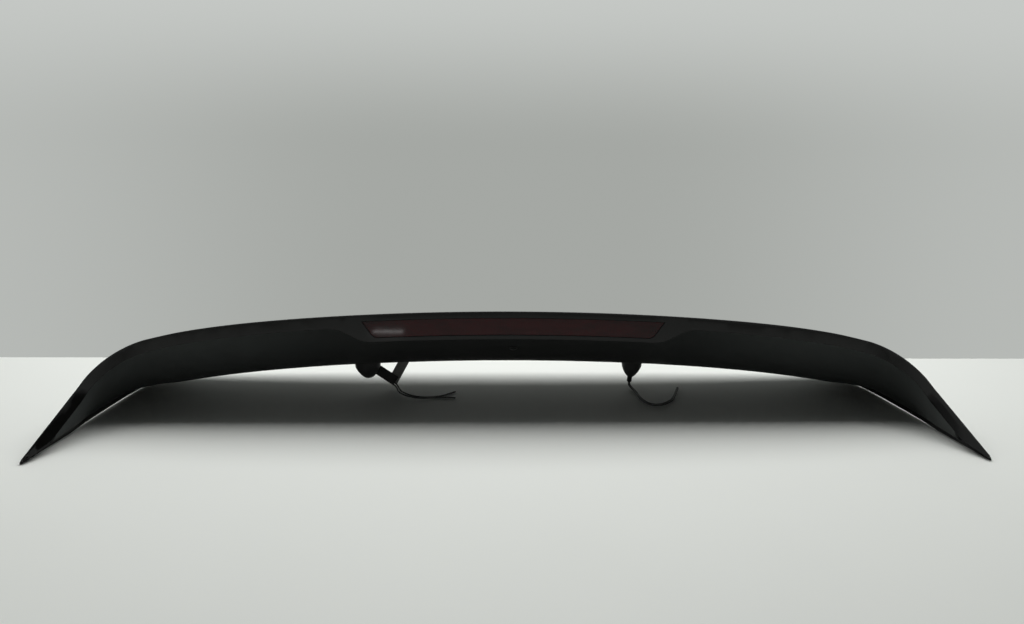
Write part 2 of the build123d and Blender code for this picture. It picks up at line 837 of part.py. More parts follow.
def grommet_profile(seat, radius, tail, tail_socket):
    """Turned profile of a bowl-shaped grommet, with a socket for the lead or hose at its top."""
    socket = lead_radius + lead_socket_clearance
    groove = skin_wall + groove_clearance
    shoulder = (radius, -grommet_shoulder)
    bowl_end = (tail, -grommet_length)
    with BuildSketch(spin_plane(seat)) as profile:
        with BuildLine():
            Polyline(
                bowl_end, (tail_socket, -grommet_length), (tail_socket, coupling_socket - grommet_length),
                (0, coupling_socket - grommet_length), (0, lead_seat), (socket, lead_seat),
                (socket, grommet_top), (grommet_flange_radius, grommet_top),
                (grommet_flange_radius, groove), (grommet_neck_radius, groove),
                (grommet_neck_radius, -groove_clearance), (radius, -groove_clearance), shoulder,
            )
            Bezier(shoulder, (bowl_pull * radius, -bowl_pull * grommet_length), bowl_end)
        make_face()
    return profile.sketch


with BuildPart() as left_grommet:
    revolve(grommet_profile(left_seat, left_grommet_radius, left_grommet_tail, wire_radius),
            axis=Axis(left_seat.origin, left_seat.z_dir))
left_grommet.part.label = "left_grommet"
export_step(left_grommet.part, "parts/left_grommet.step")

with BuildPart() as right_grommet:
    revolve(grommet_profile(right_seat, right_grommet_radius, right_grommet_tail,
                            coupling_radius + lead_socket_clearance),
            axis=Axis(right_seat.origin, right_seat.z_dir))
right_grommet.part.label = "right_grommet"
export_step(right_grommet.part, "parts/right_grommet.step")

with BuildPart() as hose_coupling:
    with BuildSketch(Plane(origin=coupling_top, x_dir=right_seat.x_dir, z_dir=right_seat.z_dir)):
        Circle(coupling_radius)
    extrude(amount=-coupling_length)
    chamfer(hose_coupling.faces().sort_by(Axis.Z)[0].edges(), coupling_chamfer)
hose_coupling.part.label = "hose_coupling"
export_step(hose_coupling.part, "parts/hose_coupling.step")

# Folded harness strap: one leg leaves the grommet, the other goes back up through the base
fold = Vector(*strap_fold)
leg_way = (fold - Vector(*strap_start)).normalized()
back_way = (Vector(*strap_end) - fold).normalized()
leg_end = fold + leg_way * strap_overlap
with BuildPart() as harness_strap:
    with BuildSketch(Plane.XZ.offset(-strap_y)):
        Polygon(*strip(strap_start, leg_end, strap_width), align=None)
    extrude(amount=strap_wall)
    with BuildSketch(Plane.XZ.offset(-strap_y)):
        Polygon(*strip(fold - back_way * strap_overlap, strap_end, strap_width), align=None)
    extrude(amount=-strap_wall)
    add(left_grommet.part, mode=Mode.SUBTRACT)
harness_strap.part.label = "harness_strap"
export_step(harness_strap.part, "parts/harness_strap.step")

# Cords: the leads and hoses inside the wing, then the cut ends that lie on the table
lead_clip_seat = base_plane(*lead_clip_at)
hose_clip_seat = base_plane(*hose_clip_at)
lead_points = route([
    (socket_x, plug_back, socket_at[1]), (socket_x, plug_back + lead_straight, socket_at[1]),
    *lead_fall,
])
lead_points += [on_axis(lead_clip_seat, skin_wall + clip_centre)]
lead_points += route(lead_rise)
lead_points += [on_axis(left_seat, lead_drop), on_axis(left_seat, lead_seat)]
hose_points = [
    on_axis(jet_seat_plane, collar_top + jet_seat), on_axis(jet_seat_plane, collar_top + hose_straight),
]
hose_points += route(hose_fall)
hose_points += [on_axis(hose_clip_seat, skin_wall + clip_centre)]
hose_points += route(hose_rise)
hose_points += [on_axis(right_seat, hose_drop), on_axis(right_seat, lead_seat)]
wire_level = wire_radius + lie_gap
tail_level = tail_radius + lie_gap
wire_reach = strap_y - trailing_y - wire_level
wire_side = right_of(leg_way)
exit_one = leg_end + wire_side * (wire_offset - wire_spacing / 2)
exit_two = leg_end + wire_side * (wire_offset + wire_spacing / 2)
bend_one = exit_one + leg_way * wire_one_straight
bend_two = exit_two + leg_way * wire_two_straight
wire_one_points = route([
    (exit_one.X, wire_reach, exit_one.Y), (bend_one.X, wire_reach, bend_one.Y), *wire_one_fall,
    *[(x, reach, wire_level) for x, reach in wire_one_lay],
])
wire_two_points = route([
    (exit_two.X, wire_reach, exit_two.Y), (bend_two.X, wire_reach, bend_two.Y), *wire_two_fall,
    *[(x, reach, wire_level) for x, reach in wire_two_lay],
])
tail_points = [coupling_end, coupling_end - right_seat.z_dir * tail_straight]
tail_points += route([*tail_fall, *[(x, reach, tail_level) for x, reach in tail_lay]])

with BuildPart() as lamp_lead:
    with BuildLine() as lead_line:
        FilletPolyline(*lead_points, radius=corner_radii("lamp_lead", lead_points))
    with BuildSketch(Plane(origin=lead_line.line @ 0, z_dir=lead_line.line % 0)):
        Circle(lead_radius)
    sweep(path=lead_line.line)
lamp_lead.part.label = "lamp_lead"
export_step(lamp_lead.part, "parts/lamp_lead.step")

with BuildPart() as washer_hose:
    with BuildLine() as hose_line:
        FilletPolyline(*hose_points, radius=corner_radii("washer_hose", hose_points))
    with BuildSketch(Plane(origin=hose_line.line @ 0, z_dir=hose_line.line % 0)):
        Circle(hose_radius)
    sweep(path=hose_line.line)
    with BuildSketch(jet_seat_plane.offset(collar_top)):
        Circle(jet_nipple_radius + jet_seat)
    extrude(amount=jet_nipple_length + jet_seat, mode=Mode.SUBTRACT)
washer_hose.part.label = "washer_hose"
export_step(washer_hose.part, "parts/washer_hose.step")

with BuildPart() as lead_clips:
    for seat in (lead_clip_seat, hose_clip_seat):
        with BuildSketch(seat.offset(skin_wall + clip_seat)):
            RectangleRounded(clip_length, clip_width, clip_round)
        extrude(amount=clip_centre + clip_grip)
    add(lamp_lead.part, mode=Mode.SUBTRACT)
    add(washer_hose.part, mode=Mode.SUBTRACT)
lead_clips.part.label = "lead_clips"
export_step(lead_clips.part, "parts/lead_clips.step")

with BuildPart() as lamp_wire_one:
    with BuildLine() as wire_one_line:
        FilletPolyline(*wire_one_points, radius=corner_radii("lamp_wire_one", wire_one_points))
    with BuildSketch(Plane(origin=wire_one_line.line @ 0, z_dir=wire_one_line.line % 0)):
        Circle(wire_radius)
    sweep(path=wire_one_line.line)
lamp_wire_one.part.label = "lamp_wire_one"
export_step(lamp_wire_one.part, "parts/lamp_wire_one.step")

with BuildPart() as lamp_wire_two:
    with BuildLine() as wire_two_line:
        FilletPolyline(*wire_two_points, radius=corner_radii("lamp_wire_two", wire_two_points))
    with BuildSketch(Plane(origin=wire_two_line.line @ 0, z_dir=wire_two_line.line % 0)):
        Circle(wire_radius)
    sweep(path=wire_two_line.line)
lamp_wire_two.part.label = "lamp_wire_two"
export_step(lamp_wire_two.part, "parts/lamp_wire_two.step")

with BuildPart() as washer_hose_tail:
    with BuildLine() as tail_line:
        FilletPolyline(*tail_points, radius=corner_radii("washer_hose_tail", tail_points))
    with BuildSketch(Plane(origin=tail_line.line @ 0, z_dir=tail_line.line % 0)):
        Circle(tail_radius)
    sweep(path=tail_line.line)
washer_hose_tail.part.label = "washer_hose_tail"
export_step(washer_hose_tail.part, "parts/washer_hose_tail.step")

with BuildPart() as mounting_studs:
    for (x, reach), top in zip(stud_places, tower_tops):
        with BuildSketch(Plane.XY.offset(top)):
            with Locations((x, trailing_y + reach)):
                Circle(stud_head_radius)
        extrude(amount=stud_head_height)
        with BuildSketch(Plane.XY.offset(stud_pad_height - stud_length)):
            with Locations((x, trailing_y + reach)):
                Circle(stud_radius)
        extrude(amount=stud_length)
        with BuildSketch(Plane.XY.offset(stud_pad_height)):
            with Locations((x, trailing_y + reach)):
                Circle(shank_radius)
        extrude(amount=top - stud_pad_height)
mounting_studs.part.label = "mounting_studs"
export_step(mounting_studs.part, "parts/mounting_studs.step")

with BuildPart() as stud_seals:
    with BuildSketch(Plane.XY.offset(stud_pad_height)):
        with Locations(*[(x, trailing_y + reach) for x, reach in stud_places]):
            Circle(seal_radius)
            Circle(seal_bore_radius, mode=Mode.SUBTRACT)
    extrude(amount=-seal_wall)
stud_seals.part.label = "stud_seals"
export_step(stud_seals.part, "parts/stud_seals.step")
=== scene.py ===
"""Looks of a car's rear spoiler: its finishes, its cut leads and a plain stage with soft light."""

from math import pi, radians

import bpy
from bpy.props import FloatProperty, FloatVectorProperty, PointerProperty
from mathutils import Euler, Matrix


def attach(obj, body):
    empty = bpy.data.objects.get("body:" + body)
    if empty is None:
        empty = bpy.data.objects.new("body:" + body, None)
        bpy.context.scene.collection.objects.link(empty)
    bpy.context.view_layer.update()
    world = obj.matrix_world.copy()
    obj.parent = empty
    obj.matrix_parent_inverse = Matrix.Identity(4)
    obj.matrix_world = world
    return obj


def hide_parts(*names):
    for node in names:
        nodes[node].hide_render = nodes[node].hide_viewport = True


bl_info = {
    "name": "Rear spoiler looks",
    "version": (1, 0, 0),
    "blender": (4, 2, 0),
    "location": "View3D > Sidebar > Spoiler",
    "description": "Finishes, cut leads and a plain stage for a car's rear spoiler",
    "category": "Object",
}

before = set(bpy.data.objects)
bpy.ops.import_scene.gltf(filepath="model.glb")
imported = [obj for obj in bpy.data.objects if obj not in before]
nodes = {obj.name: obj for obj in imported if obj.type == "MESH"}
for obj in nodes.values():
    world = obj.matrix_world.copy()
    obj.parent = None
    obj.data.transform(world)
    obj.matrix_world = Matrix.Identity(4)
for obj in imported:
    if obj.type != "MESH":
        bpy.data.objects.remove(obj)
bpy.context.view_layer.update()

WIRE_ONE_ROUTE = (
    (-0.18555, 0.10890, 0.00942), (-0.18142, 0.10890, 0.00660), (-0.17350, 0.07700, 0.00600),
    (-0.16400, 0.06500, 0.00540), (-0.15550, 0.05800, 0.00480), (-0.14600, 0.05420, 0.00400),
    (-0.13550, 0.05450, 0.00280), (-0.12400, 0.05850, 0.00160), (-0.11250, 0.06250, 0.00130),
    (-0.10100, 0.07100, 0.00130), (-0.08700, 0.08700, 0.00130),
)
WIRE_TWO_ROUTE = (
    (-0.18747, 0.10890, 0.00661), (-0.18334, 0.10890, 0.00379), (-0.17650, 0.07600, 0.00440),
    (-0.16700, 0.06300, 0.00400), (-0.15750, 0.05550, 0.00360), (-0.14700, 0.05120, 0.00300),
    (-0.13550, 0.05150, 0.00200), (-0.12350, 0.05550, 0.00150), (-0.11150, 0.05850, 0.00130),
    (-0.09800, 0.05750, 0.00130), (-0.08600, 0.05550, 0.00130),
)
HOSE_TAIL_ROUTE = (
    (0.19690, 0.11270, 0.01086), (0.19669, 0.11376, 0.00598), (0.19900, 0.10700, 0.00300),
    (0.20100, 0.09650, 0.00230), (0.20250, 0.08350, 0.00210), (0.20300, 0.04950, 0.00210),
    (0.20950, 0.02450, 0.00210), (0.21900, 0.01750, 0.00210), (0.23300, 0.02100, 0.00210),
    (0.24750, 0.03700, 0.00210), (0.25450, 0.04900, 0.00210), (0.26700, 0.08100, 0.00210),
    (0.27550, 0.10400, 0.00210),
)


class Socket:
    """An output in a finish's node tree, on which sums are written as plain expressions."""

    def __init__(self, finish, output):
        self.finish = finish
        self.output = output

    def maths(self, operation, first, second):
        return self.finish.node("ShaderNodeMath", {"operation": operation}, {0: first, 1: second})

    def __add__(self, other):
        return self.maths("ADD", self, other)

    __radd__ = __add__

    def __sub__(self, other):
        return self.maths("SUBTRACT", self, other)

    def __rsub__(self, other):
        return self.maths("SUBTRACT", other, self)

    def __mul__(self, other):
        return self.maths("MULTIPLY", self, other)

    __rmul__ = __mul__

    def __pow__(self, other):
        return self.maths("POWER", self, other)

    def __rpow__(self, other):
        return self.maths("POWER", other, self)

    def __abs__(self):
        return self.maths("ABSOLUTE", self, 0.0)

    def __gt__(self, other):
        return self.maths("GREATER_THAN", self, other)

    def larger(self, other):
        return self.maths("MAXIMUM", self, other)


class Finish:
    """A node tree under construction, for a material or for the world."""

    def __init__(self, tree, place="Object"):
        self.tree = tree
        self.tree.nodes.clear()
        self.at = self.node("ShaderNodeTexCoord", {}, {}, place)

    def node(self, kind, settings, sockets, out=0):
        """Adds a node of any type: its settings first, then the values or links of its sockets."""
        made = self.tree.nodes.new(kind)
        for key, value in settings.items():
            setattr(made, key, value)
        for key, value in sockets.items():
            socket = made.inputs[key]
            if isinstance(value, Socket):
                self.tree.links.new(value.output, socket)
            elif socket.type == "RGBA":
                socket.default_value = (*value, 1.0)
            else:
                socket.default_value = value
        return Socket(self, made.outputs[out]) if made.outputs else made

    def along(self, axis):
        """Place along an axis, 0 for X, 1 for Y and 2 for Z."""
        return self.node("ShaderNodeSeparateXYZ", {}, {0: self.at}, axis)

    def ramp(self, value, low, high):
        """Smooth run from 0 to 1 between two values."""
        sockets = {"Value": value, "From Min": low, "From Max": high}
        return self.node("ShaderNodeMapRange", {"interpolation_type": "SMOOTHSTEP"}, sockets)

    def noise(self, size, detail=2.0, stretch=(1.0, 1.0, 1.0)):
        """Cloudy pattern whose clouds are about a given size across."""
        where = self.node("ShaderNodeMapping", {}, {"Vector": self.at, "Scale": stretch})
        return self.node("ShaderNodeTexNoise", {}, {"Vector": where, "Scale": 1 / size, "Detail": detail})

    def cells(self, size):
        """Rounded cells of about a given size."""
        return self.node("ShaderNodeTexVoronoi", {}, {"Vector": self.at, "Scale": 1 / size})

    def bands(self, pitch, direction):
        """Soft ridges across one axis, a pitch apart: at scale 1 they are pi / 10 apart."""
        settings = {"wave_type": "BANDS", "bands_direction": direction}
        sockets = {"Vector": self.at, "Scale": pi / (10 * pitch)}
        return self.node("ShaderNodeTexWave", settings, sockets, 1)

    def shades(self, mask, first, second):
        """Mix of two colours by a mask."""
        return self.node("ShaderNodeMix", {"data_type": "RGBA"}, {0: mask, 6: first, 7: second}, 2)

    def ray(self, kind):
        """Whether a ray is of a kind, such as one from the camera."""
        return self.node("ShaderNodeLightPath", {}, {}, kind)

    def seen(self):
        """Whether a ray shows the surroundings: from the camera, off a gloss or through glass."""
        shown = self.ray("Is Camera Ray").larger(self.ray("Is Glossy Ray"))
        return shown.larger(self.ray("Is Transmission Ray"))

    def soft_edges(self, radius):
        """Normals that run softly round sharp edges."""
        return self.node("ShaderNodeBevel", {"samples": 6}, {"Radius": radius})

    def bump(self, height, strength, depth, edge):
        """Raised pattern on a surface whose edges are rounded to a radius."""
        sockets = {"Height": height, "Strength": strength, "Distance": depth, "Normal": self.soft_edges(edge)}
        return self.node("ShaderNodeBump", {}, sockets)

    def surface(self, sockets):
        """Ends the tree in one shader with the given sockets."""
        shader = self.node("ShaderNodeBsdfPrincipled", {}, sockets)
        self.node("ShaderNodeOutputMaterial", {}, {"Surface": shader})


def new_finish(name):
    """A new material and the finish that fills it."""
    material = bpy.data.materials.new(name)
    material.use_nodes = True
    return material, Finish(material.node_tree)


def tone(colour, share):
    """A colour made darker or lighter."""
    return tuple(min(share * part, 1.0) for part in colour)


def gloss_paint(colour):
    """Sprayed black paint under clear coat, with faint orange peel and a film of dust."""
    material, finish = new_finish("gloss black paint")
    peel = finish.noise(size=0.0022, detail=1.0)
    film = finish.noise(size=0.05, detail=6.0)
    finish.surface({
        "Base Color": finish.shades(film, tone(colour, 0.7), tone(colour, 1.3)),
        "Roughness": 0.06 + 0.05 * film,
        "Specular IOR Level": 0.25,
        "Coat Weight": 0.1,
        "Coat Roughness": 0.03,
        "Normal": finish.bump(peel, strength=0.03, depth=0.0002, edge=0.0009),
    })
    return material


def grained_plastic(name, colour, grain, roughness, depth, edge):
    """Moulded plastic with an even leathery grain."""
    material, finish = new_finish(name)
    pits = finish.cells(grain)
    clouds = finish.noise(size=0.03, detail=5.0)
    finish.surface({
        "Base Color": finish.shades(clouds, tone(colour, 0.85), tone(colour, 1.15)),
        "Roughness": roughness - 0.08 + 0.16 * clouds,
        "Specular IOR Level": 0.25,
        "Normal": finish.bump(pits, strength=0.3, depth=depth, edge=edge),
    })
    return material


def skin_panel(colour, dust_and_painted_light, grain):
    """Grained dark panel, painted lighter towards both ends as painted light, which leaves a painted shade in
    its middle.
    """
    material, finish = new_finish("grained panel")
    pits = finish.cells(grain)
    clouds = finish.noise(size=0.03, detail=5.0)
    # Painted light: a lighter colour towards both ends, so that the middle keeps a painted shade
    film = finish.ramp(abs(finish.along(0)), low=0.12, high=0.5) * (0.8 + 0.4 * clouds)
    finish.surface({
        "Base Color": finish.shades(film, colour, dust_and_painted_light),
        "Roughness": 0.62 + 0.16 * clouds,
        "Specular IOR Level": 0.2,
        "Normal": finish.bump(pits, strength=0.3, depth=0.0003, edge=0.0008),
    })
    return material


def red_lens(colour, half_width):
    """Dark red tinted lens, polished outside, with faint prisms behind it, painted brighter in its middle as
    a painted glow and darker towards its ends as painted shade.
    """
    material, finish = new_finish("dark red lens")
    prisms = finish.bands(pitch=0.004, direction="X")
    haze = finish.noise(size=0.012, detail=5.0)
    patches = finish.noise(size=0.02, detail=4.0, stretch=(0.5, 1.0, 1.6))
    painted_glow = 1.0 - finish.ramp(abs(finish.along(0)), low=0.5 * half_width, high=half_width)
    # Painted glow in the middle and painted shade towards the ends, mixed with the prisms and random patches
    depth = 0.4 * painted_glow + 0.1 * prisms + 1.6 * patches - 0.35
    finish.surface({
        "Base Color": finish.shades(depth, tone(colour, 0.25), tone(colour, 1.3)),
        "Roughness": 0.04 + 0.06 * haze,
        "Specular IOR Level": 0.2,
        "Coat Weight": 0.1,
        "Coat Roughness": 0.04,
        "Normal": finish.soft_edges(radius=0.0016),
    })
    return material


def foam_strip(colour):
    """Closed-cell foam with open skin."""
    material, finish = new_finish("closed-cell foam")
    cells = finish.cells(size=0.0009)
    finish.surface({
        "Base Color": finish.shades(cells, tone(colour, 1.4), tone(colour, 0.6)),
        "Roughness": 0.85 + 0.1 * cells,
        "Normal": finish.bump(cells, strength=0.6, depth=0.0004, edge=0.0006),
    })
    return material


def rubber(name, colour, dust_and_painted_light):
    """Soft rubber with a dry bloom of dust in patches."""
    material, finish = new_finish(name)
    bloom = finish.noise(size=0.012, detail=5.0)
    skin = finish.noise(size=0.0008, detail=2.0)
    finish.surface({
        "Base Color": finish.shades(bloom, colour, tone(colour, dust_and_painted_light)),
        "Roughness": 0.5 + 0.25 * bloom,
        "Normal": finish.bump(skin, strength=0.2, depth=0.0002, edge=0.0016),
    })
    return material


def harness_tape(colour, back, fold):
    """Woven cloth tape in two tones that stand for light and shade: dark on the leg in front of the fold as
    painted shade, and grey on the leg behind it as painted light.
    """
    material, finish = new_finish("woven harness tape")
    yarn = 0.0008
    weave = finish.bands(yarn, "X") * finish.bands(yarn, "Z")
    wear = finish.noise(size=0.01, detail=4.0)
    # Painted light and shade: the leg behind the fold is painted grey as if lit, the leg in front dark as if
    # shaded
    behind = finish.along(1) > fold
    finish.surface({
        "Base Color": finish.shades(behind, colour, back),
        "Roughness": 0.75 + 0.15 * wear,
        "Normal": finish.bump(weave, strength=0.5, depth=0.0003, edge=0.0006),
    })
    return material


def plated_steel(name, colour, thread):
    """Zinc plated steel, with the ridges of a thread where there is one."""
    material, finish = new_finish(name)
    streaks = finish.noise(size=0.004, detail=3.0, stretch=(1.0, 1.0, 0.15))
    ridges = finish.bands(thread, "Z") if thread else streaks
    finish.surface({
        "Base Color": finish.shades(streaks, tone(colour, 0.8), tone(colour, 1.1)),
        "Metallic": 1.0,
        "Roughness": 0.28 + 0.2 * streaks,
        "Normal": finish.bump(ridges, strength=0.8 if thread else 0.05, depth=0.0005, edge=0.0004),
    })
    return material


def lacquered_board(colour, track):
    """Green lacquered board with copper tracks that show through."""
    material, finish = new_finish("lacquered board")
    tracks = finish.bands(pitch=0.003, direction="Z") ** 6.0
    stain = finish.noise(size=0.01, detail=4.0)
    finish.surface({
        "Base Color": finish.shades(tracks, colour, track),
        "Roughness": 0.25 + 0.2 * stain,
        "Normal": finish.bump(tracks, strength=0.3, depth=0.0002, edge=0.0002),
    })
    return material


def cast_resin(colour):
    """Pale resin over the diodes."""
    material, finish = new_finish("cast resin")
    depth = finish.noise(size=0.002, detail=3.0)
    finish.surface({
        "Base Color": finish.shades(depth, tone(colour, 0.85), colour),
        "Roughness": 0.12 + 0.1 * depth,
    })
    return material


def bright_metal(colour):
    """Metallised reflector film."""
    material, finish = new_finish("metallised film")
    ripple = finish.noise(size=0.003, detail=3.0)
    finish.surface({
        "Base Color": colour,
        "Metallic": 1.0,
        "Roughness": 0.08 + 0.1 * ripple,
        "Normal": finish.bump(ripple, strength=0.1, depth=0.0002, edge=0.0004),
    })
    return material


def colour_of(name, description, default):
    """A colour that a user may change."""
    return FloatVectorProperty(name=name, description=description, subtype="COLOR", size=3,
                               min=0.0, max=1.0, default=default)


def length_of(name, description, default):
    """A length in metres that a user may change."""
    return FloatProperty(name=name, description=description, unit="LENGTH", min=0.0, default=default)


def angle_of(name, description, degrees):
    """An angle that a user may change, given in degrees."""
    return FloatProperty(name=name, description=description, subtype="ANGLE", default=radians(degrees))


class SpoilerFinishes(bpy.types.PropertyGroup):
    """Colours of the spoiler's materials, and the sizes that go with them."""

    paint: colour_of("Paint", "Gloss paint of the upper skin", (0.004, 0.004, 0.004))
    panel: colour_of("Panel", "Grained plastic of the lower skin", (0.009, 0.0095, 0.0095))
    # Painted light: the lower skin's lighter colour towards its ends, which leaves a painted shade in its
    # middle
    dust_and_painted_light: colour_of("Dust", "Dry dust towards the ends of the lower skin", (0.046, 0.05, 0.049))
    lens: colour_of("Lens", "Tinted lens of the brake lamp", (0.036, 0.0015, 0.0028))
    moulding: colour_of("Mouldings", "Lamp housing, clips, jet and coupling", (0.015, 0.015, 0.015))
    foam: colour_of("Foam", "Gasket, seals and front edge tape", (0.03, 0.03, 0.03))
    rubber: colour_of("Rubber", "Grommets, hoses and leads", (0.016, 0.016, 0.016))
    # Painted shade and painted light: one strap, dark on the leg in front of the fold and painted grey on the
    # leg behind it
    tape: colour_of("Harness tape", "Tape of the strap's leg in front of the fold", (0.012, 0.012, 0.012))
    tape_painted_lit: colour_of("Tape back", "Tape of the strap's leg behind the fold", (0.3, 0.3, 0.29))
    fold: length_of("Fold", "Place of the strap's fold along Y", 0.11)
    zinc: colour_of("Zinc", "Studs and screws", (0.55, 0.55, 0.53))
    plug: colour_of("Plug", "Plug of the lamp", (0.18, 0.18, 0.18))
    board: colour_of("Board", "Lacquer of the circuit board", (0.02, 0.12, 0.05))
    track: colour_of("Tracks", "Copper under the lacquer", (0.05, 0.2, 0.08))
    resin: colour_of("Resin", "Resin over the diodes", (0.8, 0.75, 0.6))
    film: colour_of("Reflector", "Metallised reflector", (0.8, 0.8, 0.8))
    smooth_angle: angle_of("Smooth angle", "Flatter edges of the upper skin are shaded smooth", 12.0)
    weld: length_of("Weld distance", "Points of the upper skin closer than this are joined", 0.000005)
    grain: length_of("Grain", "Size of the panel's grain", 0.0008)
    # Painted shade: the lens is painted darker towards this half width, with a painted glow in its middle
    lens_half: length_of("Lens half width", "Half of the lens's width, where its tint is darkest", 0.212)


class SpoilerLeads(bpy.types.PropertyGroup):
    """Sizes of the cut leads that lie under the spoiler."""

    wire_diameter: length_of("Wire diameter", "Outside diameter of a lamp wire", 0.0024)
    wire_one_length: length_of("First wire", "Length of the first wire from the fold to its cut", 0.143)
    wire_two_length: length_of("Second wire", "Length of the second wire from the fold to its cut", 0.138)
    hose_diameter: length_of("Hose diameter", "Outside diameter of the washer hose", 0.004)
    hose_length: length_of("Hose tail", "Length of the hose from its sleeve to its cut", 0.213)


class SpoilerStage(bpy.types.PropertyGroup):
    """Table, wall, light and camera."""

    table: colour_of("Table", "Pale surface that the spoiler stands on", (0.8, 0.82, 0.785))
    wall: colour_of("Wall", "Grey behind the table", (0.375, 0.39, 0.37))
    wall_top: colour_of("Wall top", "Paler grey higher up the wall", (0.56, 0.58, 0.56))
    room: colour_of("Room", "Dim room behind the camera, for bounced light only", (0.05, 0.05, 0.05))
    floor: colour_of("Floor", "Dim floor past the near edge, for bounced light only", (0.02, 0.02, 0.02))
    table_far: length_of("Far edge", "Where the table meets the wall", 0.298)
    table_near: length_of("Near edge", "How far towards the camera the table bounces light", 0.46)
    table_half: length_of("Half width", "Half width of that near edge, before its corners", 0.45)
    # Painted shade: how far the table is painted darker past the wall, under the soft lamp
    far_painted_shade: FloatProperty(name="Far tone", description="Tone of the table past the wall",
                              subtype="FACTOR", min=0.0, max=1.0, default=0.8)
    tone_far: length_of("Far tone end", "Where the table has its far tone", 0.894)
    fade_near: length_of("Fade start", "Distance at which the table starts to fade into grey", 1.0)
    fade_far: length_of("Fade end", "Distance at which the table has faded into grey", 4.0)
    wall_low: length_of("Wall low", "Height at which the wall starts to turn paler", 0.3783)
    wall_high: length_of("Wall high", "Height at which the wall is palest", 0.662025)
    wall_inner: length_of("Wall inner", "Distance aside at which the wall starts to turn paler", 0.18)
    wall_outer: length_of("Wall outer", "Distance aside at which the wall's sides are palest", 0.99)
    sheet: length_of("Sheet", "Width of the table's and of the wall's sheet", 16.0)
    drop: length_of("Drop", "How far the table lies below the spoiler", 0.0003)
    ambient: FloatProperty(name="Ambient", description="Share of the surroundings that lights the spoiler",
                           subtype="FACTOR", min=0.0, max=1.0, default=0.5)
    key_power: FloatProperty(name="Key power", description="Power of the soft lamp above", unit="POWER",
                             min=0.0, default=44.0)
    key_width: length_of("Key width", "Width of the soft lamp above", 2.4)
    key_depth: length_of("Key depth", "Depth of the soft lamp above", 1.6)
    key_height: length_of("Key height", "Height of the soft lamp above the table", 1.6)
    key_front: length_of("Key offset", "How far the soft lamp hangs towards the wall", 0.8)
    glint_power: FloatProperty(name="Glint power", description="Power of the lamp that the lens reflects",
                               unit="POWER", min=0.0, default=0.03)
    glint_place: FloatVectorProperty(name="Glint place", subtype="TRANSLATION", size=3,
                                     description="Place of the lamp that the lens reflects",
                                     default=(-0.241, -0.577, 0.004))
    glint_width: length_of("Glint width", "Width of the lamp that the lens reflects", 0.062)
    glint_depth: length_of("Glint depth", "Depth of the lamp that the lens reflects", 0.022)
    camera_aside: length_of("Camera offset", "Distance of the camera to the left of the centre line", 0.0479)
    camera_back: length_of("Camera distance", "Distance of the camera behind the origin", 1.0922)
    camera_height: length_of("Camera height", "Height of the camera above the table", 0.3783)
    camera_pitch: angle_of("Camera pitch", "Downward tilt of the camera", 11.8)
    camera_turn: angle_of("Camera turn", "Turn of the camera to the right", 2.42)
    camera_roll: angle_of("Camera roll", "Roll of the camera to the left", 0.72)
    camera_lens: FloatProperty(name="Focal length", description="Focal length of the camera",
                               subtype="DISTANCE_CAMERA", default=27.04)
    camera_sensor: FloatProperty(name="Sensor width", description="Width of the camera's sensor",
                                 subtype="DISTANCE_CAMERA", default=36.0)


def dress(material, *names):
    """Gives pieces of the frame their material."""
    for name in names:
        nodes[name].material_slots[0].material = material


def lay_cord(name, route, diameter, material):
    """A cut cord along its route, in place of the plain tube of the same name."""
    line = bpy.data.curves.new(name + "_line", "CURVE")
    line.dimensions = "3D"
    line.bevel_depth = diameter / 2
    line.bevel_resolution = 5
    line.resolution_u = 10
    line.use_fill_caps = True
    spline = line.splines.new("NURBS")
    spline.points.add(len(route) - 1)
    for point, place in zip(spline.points, route):
        point.co = (*place, 1.0)
    spline.order_u = 3
    spline.use_endpoint_u = True
    cord = bpy.data.objects.new(name + "_cord", line)
    bpy.context.scene.collection.objects.link(cord)
    line.materials.append(material)
    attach(cord, "root")
    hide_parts(name)


def smooth_skin(name, material, weld, angle):
    """A skin shown by a copy of its mesh with the triangles joined, so that light runs evenly over it."""
    skin = bpy.data.objects.new(name + "_smooth", nodes[name].data.copy())
    bpy.context.scene.collection.objects.link(skin)
    bpy.ops.object.select_all(action="DESELECT")
    skin.select_set(True)
    bpy.context.view_layer.objects.active = skin
    bpy.ops.mesh.customdata_custom_splitnormals_clear()
    bpy.ops.object.mode_set(mode="EDIT")
    bpy.ops.mesh.select_all(action="SELECT")
    bpy.ops.mesh.remove_doubles(threshold=weld)
    bpy.ops.object.mode_set(mode="OBJECT")
    bpy.ops.object.shade_smooth_by_angle(angle=angle)
    skin.material_slots[0].material = material
    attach(skin, "root")
    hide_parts(name)


class SPOILER_OT_skins(bpy.types.Operator):
    """Finish the gloss upper skin and the grained lower skin"""

    bl_idname = "spoiler.skins"
    bl_label = "Skins"

    def execute(self, context):
        look = context.scene.spoiler_finishes
        smooth_skin("upper_skin", gloss_paint(look.paint), look.weld, look.smooth_angle)
        dress(skin_panel(look.panel, look.dust_and_painted_light, look.grain), "lower_skin")
        return {"FINISHED"}


